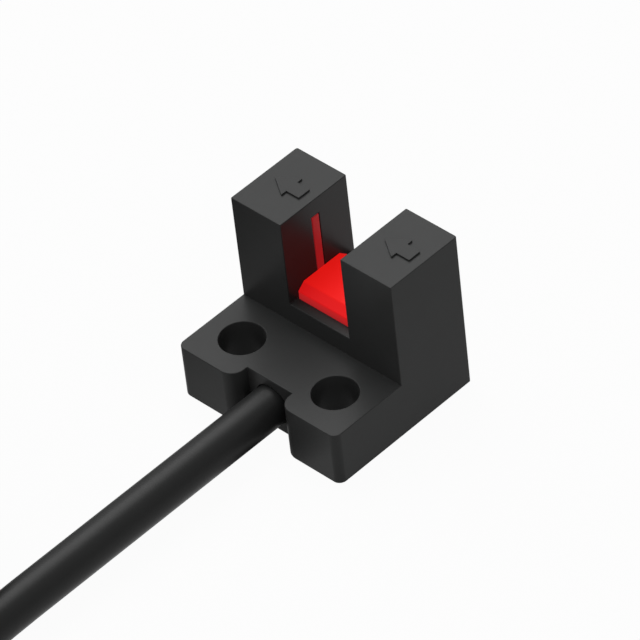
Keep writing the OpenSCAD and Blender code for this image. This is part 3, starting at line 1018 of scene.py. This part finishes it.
@dataclass
class CoilTie:
    """The ribbed strap round the coil, its head and its cut tail."""

    coil: CableCoil
    width: float = 2.5 * MM
    thick: float = 0.34 * MM
    edge: float = 0.08 * MM
    corner: float = 1.5 * MM
    corner_reach: float = 1.7 * MM
    corner_steps: int = 6
    clear: float = 0.03 * MM
    columns: int = 3
    head: Vector = field(default_factory=lambda: Vector((2.0, 3.2, 2.8)) * MM)
    head_z: float = 4.13 * MM
    head_cut: float = 0.45 * MM
    head_edge: float = 0.12 * MM
    tail: float = 2.2 * MM
    tail_root: float = 0.4 * MM
    rib_pitch: float = 0.55 * MM
    rib_width: float = 1.5 * MM
    rib_length: float = 0.22 * MM
    rib_height: float = 0.14 * MM
    ribs_above: float = 2 * MM
    ribs_off_wall: float = 1.5 * MM

    def inner_wall(self) -> float:
        """The coil's inner radius at the strap's edges."""
        ring_in = self.coil.coil_r - (self.columns - 1) * self.coil.pitch - self.coil.radius
        return math.sqrt(ring_in ** 2 - (self.width / 2) ** 2) - self.clear

    def world(self, point: Vector, across: float) -> Vector:
        """A point of the strap's plane, which stands on the coil's side towards -Y."""
        return self.coil.middle + Vector((across, -point.x, point.y))

    def corners(self) -> list[Vector]:
        """Finds the corners of the strap's middle line.

        Returns:
            For each corner, how far out from the coil's middle it lies, and how high.
        """
        half = self.thick / 2
        coil = self.coil
        inner = self.inner_wall() - half
        outer = coil.coil_r + coil.radius + self.clear + half
        ring_h = 2 * coil.radius + (coil.layers - 1) * coil.pitch
        top = ring_h + coil.pitch + self.clear + half
        shoulder = coil.coil_r - (self.columns - 1) * coil.pitch + coil.radius + self.clear + half
        below = [Vector((inner, half)), Vector((outer, half)), Vector((outer, ring_h + half))]
        return below + [Vector((shoulder, top)), Vector((inner, top))]

    def loop(self) -> list[Vector]:
        """Rounds the corners of the strap's middle line.

        Returns:
            The closed line.
        """
        corners = self.corners()
        line = []
        for k, corner in enumerate(corners):
            back = (corners[k - 1] - corner).normalized()
            ahead = (corners[(k + 1) % len(corners)] - corner).normalized()
            half = back.angle(ahead) / 2
            reach = min(self.corner / math.tan(half), self.corner_reach)
            middle = corner + (back + ahead).normalized() * (reach / math.cos(half))
            first, last = corner + back * reach - middle, corner + ahead * reach - middle
            for n in range(self.corner_steps + 1):
                turned = first.normalized().slerp(last.normalized(), n / self.corner_steps)
                line.append(middle + turned * first.length)
        return line

    def section(self) -> list[tuple[float, float]]:
        """Finds the corners of the strap's section.

        Returns:
            For each corner, how far it lies off the middle line, and across the strap.
        """
        h, w, e = self.thick / 2, self.width / 2, self.edge
        half = [(h, -w + e), (h, w - e), (h - e, w), (-h + e, w)]
        return half + [(-off, -across) for off, across in half]

    def sweep(self, bm: bmesh.types.BMesh, line: Sequence[Vector], closed: bool) -> None:
        """Sweeps the strap's section along a line of the strap's own plane.

        Args:
            bm: the mesh under construction.
            line: the middle line.
            closed: whether the line's end joins its start.
        """
        rings = []
        count = len(line)
        for k, point in enumerate(line):
            before = line[k - 1] if closed or k else line[k]
            after = line[(k + 1) % count] if closed or k < count - 1 else line[k]
            along = (after - before).normalized()
            out = Vector((along.y, -along.x))
            rings.append([
                bm.verts.new(self.world(point + out * off, across))
                for off, across in self.section()])
        for k in range(count if closed else count - 1):
            bridge(bm, rings[k], rings[(k + 1) % count])
        if not closed:
            bm.faces.new(rings[0])
            bm.faces.new(rings[-1][::-1])

    def head_block(self, bm: bmesh.types.BMesh) -> None:
        """Builds the head, a block with two cut corners and eased ends.

        Args:
            bm: the mesh under construction.
        """
        face = self.inner_wall() - self.thick
        back, middle = face - self.head.x, face - self.head.x / 2
        low, high = self.head_z, self.head_z + self.head.z
        half, cut, edge = self.head.y / 2, self.head_cut, self.head_edge
        outline = [
            (face, -half), (face, half), (back + cut, half), (back, half - cut),
            (back, -half + cut), (back + cut, -half),
        ]
        rings = []
        for z, inset in ((low, edge), (low + edge, 0.0), (high - edge, 0.0), (high, edge)):
            shrink = 1 - inset / half
            ring = [(middle + (out - middle) * shrink, side * shrink) for out, side in outline]
            rings.append([bm.verts.new(self.world(Vector((out, z)), side)) for out, side in ring])
        for near, far in zip(rings, rings[1:]):
            bridge(bm, near, far)
        bm.faces.new(rings[0][::-1])
        bm.faces.new(rings[-1])

    def tail_line(self) -> list[Vector]:
        """Finds the tail's middle line, up through the head and a little beyond.

        Returns:
            The line's two ends.
        """
        out = self.inner_wall() - self.thick - self.head.x / 2
        ends = (self.head_z - self.tail_root, self.head_z + self.head.z + self.tail)
        return [Vector((out, z)) for z in ends]

    def ribbed_line(self, loop: Sequence[Vector]) -> list[Vector]:
        """Finds where the ribs stand: over the coil's outer side and top, on the strap's face.

        Args:
            loop: the strap's middle line.

        Returns:
            The line on the strap's outer face.
        """
        count = len(loop)
        line = []
        for k in range(count):
            along = (loop[(k + 1) % count] - loop[k - 1]).normalized()
            point = loop[k] + Vector((along.y, -along.x)) * (self.thick / 2)
            if point.y > self.ribs_above and point.x > self.inner_wall() + self.ribs_off_wall:
                line.append(point)
        return line

    def ribs(self, line: Sequence[Vector]) -> bpy.types.Object:
        """Sets ribs at equal steps along a line.

        Args:
            line: the line on the strap's outer face.

        Returns:
            The ribs, as one mesh.
        """
        work = NodeTree("strap_ribs", {
            "Pitch": self.rib_pitch, "Width": self.rib_width, "Length": self.rib_length,
            "Height": self.rib_height,
        })
        pitch, width, length, height = (work.given(size) for size in work.sizes)
        path = work.node("GeometryNodeMeshToCurve", {0: work.given("Geometry")})
        spaced = work.node(
            "GeometryNodeResampleCurve", {"Curve": path, "Length": pitch}, {"mode": "LENGTH"})
        box = work.node("ShaderNodeCombineXYZ", {"X": width, "Y": length, "Z": height})
        rib = work.node("GeometryNodeMeshCube", {"Size": box})
        along = work.node("GeometryNodeInputTangent")
        turn = work.node(
            "FunctionNodeAlignEulerToVector", {"Vector": along}, {"axis": "Y", "pivot_axis": "X"})
        placed = work.node("GeometryNodeInstanceOnPoints", {
            "Points": spaced, "Instance": rib, "Rotation": turn})
        work.close(placed, TIE_NYLON)
        mesh = bpy.data.meshes.new("strap_ribs")
        edges = [(k, k + 1) for k in range(len(line) - 1)]
        mesh.from_pydata([self.world(point, 0.0) for point in line], edges, [])
        return work.run(linked("strap_ribs", mesh))

    def build(self) -> bpy.types.Object:
        """Builds the tie as one piece.

        Returns:
            The tie.
        """
        loop = self.loop()
        bm = bmesh.new()
        self.sweep(bm, loop, closed=True)
        self.sweep(bm, self.tail_line(), closed=False)
        self.head_block(bm)
        bmesh.ops.recalc_face_normals(bm, faces=bm.faces)
        ribs = self.ribs(self.ribbed_line(loop))
        bm.from_mesh(ribs.data)
        bpy.data.objects.remove(ribs)
        return seat(dress(settled("coil_strap", bm), TIE_NYLON), "coil_tie")


# Studio and camera


@dataclass
class Softbox:
    """A square lamp with soft light that faces the part."""

    name: str
    towards: Vector
    distance: float
    width: float
    radiance: float

    def build(self) -> None:
        """Puts the lamp up; its power follows from the light that its face gives off."""
        data = bpy.data.lights.new(self.name, "AREA")
        data.shape = "SQUARE"
        data.size = self.width
        data.energy = self.radiance * math.pi * self.width ** 2
        lamp = linked(self.name, data)
        lamp.location = self.towards.normalized() * self.distance
        lamp.rotation_mode = "QUATERNION"
        lamp.rotation_quaternion = self.towards.to_track_quat("Z", "Y")


@dataclass
class Studio:
    """A pale floor in soft white light, and the camera."""

    camera_at: Vector = field(default_factory=lambda: Vector((195.987, -175.659, 245.937)) * MM)
    camera_back: Vector = field(default_factory=lambda: Vector((0.5498, -0.49297, 0.67432)))
    camera_roll: float = math.radians(-6.909)
    camera_clip: tuple[float, float] = (0.01, 20.0)
    sensor_mm: float = 36.0
    focal_px: float = 5824.2
    image_px: int = 640
    sky: float = 0.5
    floor_size: float = 6.0
    floor_z: float = -0.01 * MM
    floor_colour: Colour = (0.42, 0.42, 0.42)
    floor_white: float = 0.96
    gloss_white: float = 0.2
    gloss_floor: float = 0.98
    # In gloss the floor has painted shade towards the left, and a painted shadow in the corner
    # between cable and shelf
    gloss_left: tuple[float, float] = (-16 * MM, -3.5 * MM)
    corner_at: tuple[float, float] = (1.0 * MM, -7.2 * MM)
    corner_dim: tuple[float, float] = (0.2 * MM, 3.2 * MM)
    key: Softbox = field(default_factory=lambda: Softbox(
        "key_softbox", Vector((-0.45, 0.25, 0.86)), distance=0.6, width=0.52, radiance=4.15))

    def camera(self) -> None:
        """Sets up the camera at the photograph's viewing angle."""
        data = bpy.data.cameras.new("camera")
        data.sensor_width = self.sensor_mm
        data.lens = self.sensor_mm * self.focal_px / self.image_px
        data.clip_start, data.clip_end = self.camera_clip
        camera = linked("camera", data)
        camera.location = self.camera_at
        camera.rotation_mode = "QUATERNION"
        level = (-self.camera_back).to_track_quat("-Z", "Y")
        camera.rotation_quaternion = level @ Quaternion((0, 0, 1), self.camera_roll)
        bpy.context.scene.camera = camera

    @staticmethod
    def shown(shade: Shade) -> tuple[Sock, Sock]:
        """Tells the rays that show the background from those that only light the part.

        Args:
            shade: the tree of the floor or the world.

        Returns:
            1 for rays that show it straight on or through glass, and 1 for rays in gloss.
        """
        straight, glass, gloss = (
            shade.node("ShaderNodeLightPath", output=f"Is {kind} Ray")
            for kind in ("Camera", "Transmission", "Glossy"))
        return straight.top(glass), gloss

    def world(self) -> None:
        """Makes the world white where it shows, and a plain sky for the light."""
        world = bpy.data.worlds.new("studio")
        bpy.context.scene.world = world
        shade = Shade(world)
        straight, gloss = self.shown(shade)
        strength = self.sky + (1 - self.sky) * straight.top(self.gloss_white * gloss)
        inputs = {"Color": WHITE, "Strength": strength}
        shade.close(shade.node("ShaderNodeBackground", inputs))

    def in_gloss(self, shade: Shade) -> Sock:
        """Works out how light the floor is in gloss.

        Args:
            shade: the floor's tree.

        Returns:
            Its lightness, with painted shade towards the left and a painted shadow in the corner
            between cable and shelf.
        """
        across, along, _ = shade.axes()
        aside, ahead = across - self.corner_at[0], along - self.corner_at[1]
        near, far = (reach ** 2 for reach in self.corner_dim)
        # Painted shadow in the corner between cable and shelf, and painted shade towards the left
        out_of_painted_shadow = shade.rise(aside * aside + ahead * ahead, near, far)
        return self.gloss_floor * shade.rise(across, *self.gloss_left) * out_of_painted_shadow

    def floor(self) -> None:
        """Lays a pale floor, near white where it shows, that keeps the part's shadow and in gloss
        has painted shade.
        """
        half = self.floor_size / 2
        sides = ((-half, -half), (half, -half), (half, half), (-half, half))
        mesh = bpy.data.meshes.new("floor")
        mesh.from_pydata([(x, y, self.floor_z) for x, y in sides], [], [(0, 1, 2, 3)])
        shade = Shade(bpy.data.materials.new("pale_floor"))
        straight, gloss = self.shown(shade)
        colour = shade.blend(straight, self.in_gloss(shade), WHITE)
        white = shade.node("ShaderNodeEmission", {"Color": colour, "Strength": 1.0})
        lit = shade.node("ShaderNodeBsdfDiffuse", {"Color": (*self.floor_colour, 1.0)})
        share = self.floor_white * straight.top(gloss)
        shade.close(shade.node("ShaderNodeMixShader", {0: share, 1: lit, 2: white}))
        mesh.materials.append(shade.owner)
        linked("floor", mesh)

    def build(self) -> None:
        """Sets up camera, world, floor and lamp."""
        bpy.context.scene.view_settings.view_transform = "Standard"
        self.camera()
        self.world()
        self.floor()
        self.key.build()


def main() -> None:
    """Builds the studio, the cable and the sensor."""
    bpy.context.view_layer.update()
    Studio().build()
    coil = CableCoil()
    coil.build([CoilTie(coil).build(), *FreeCores(coil).build()])
    SensorBody().build()
    SensorBoard().build()


if __name__ == "__main__":
    main()
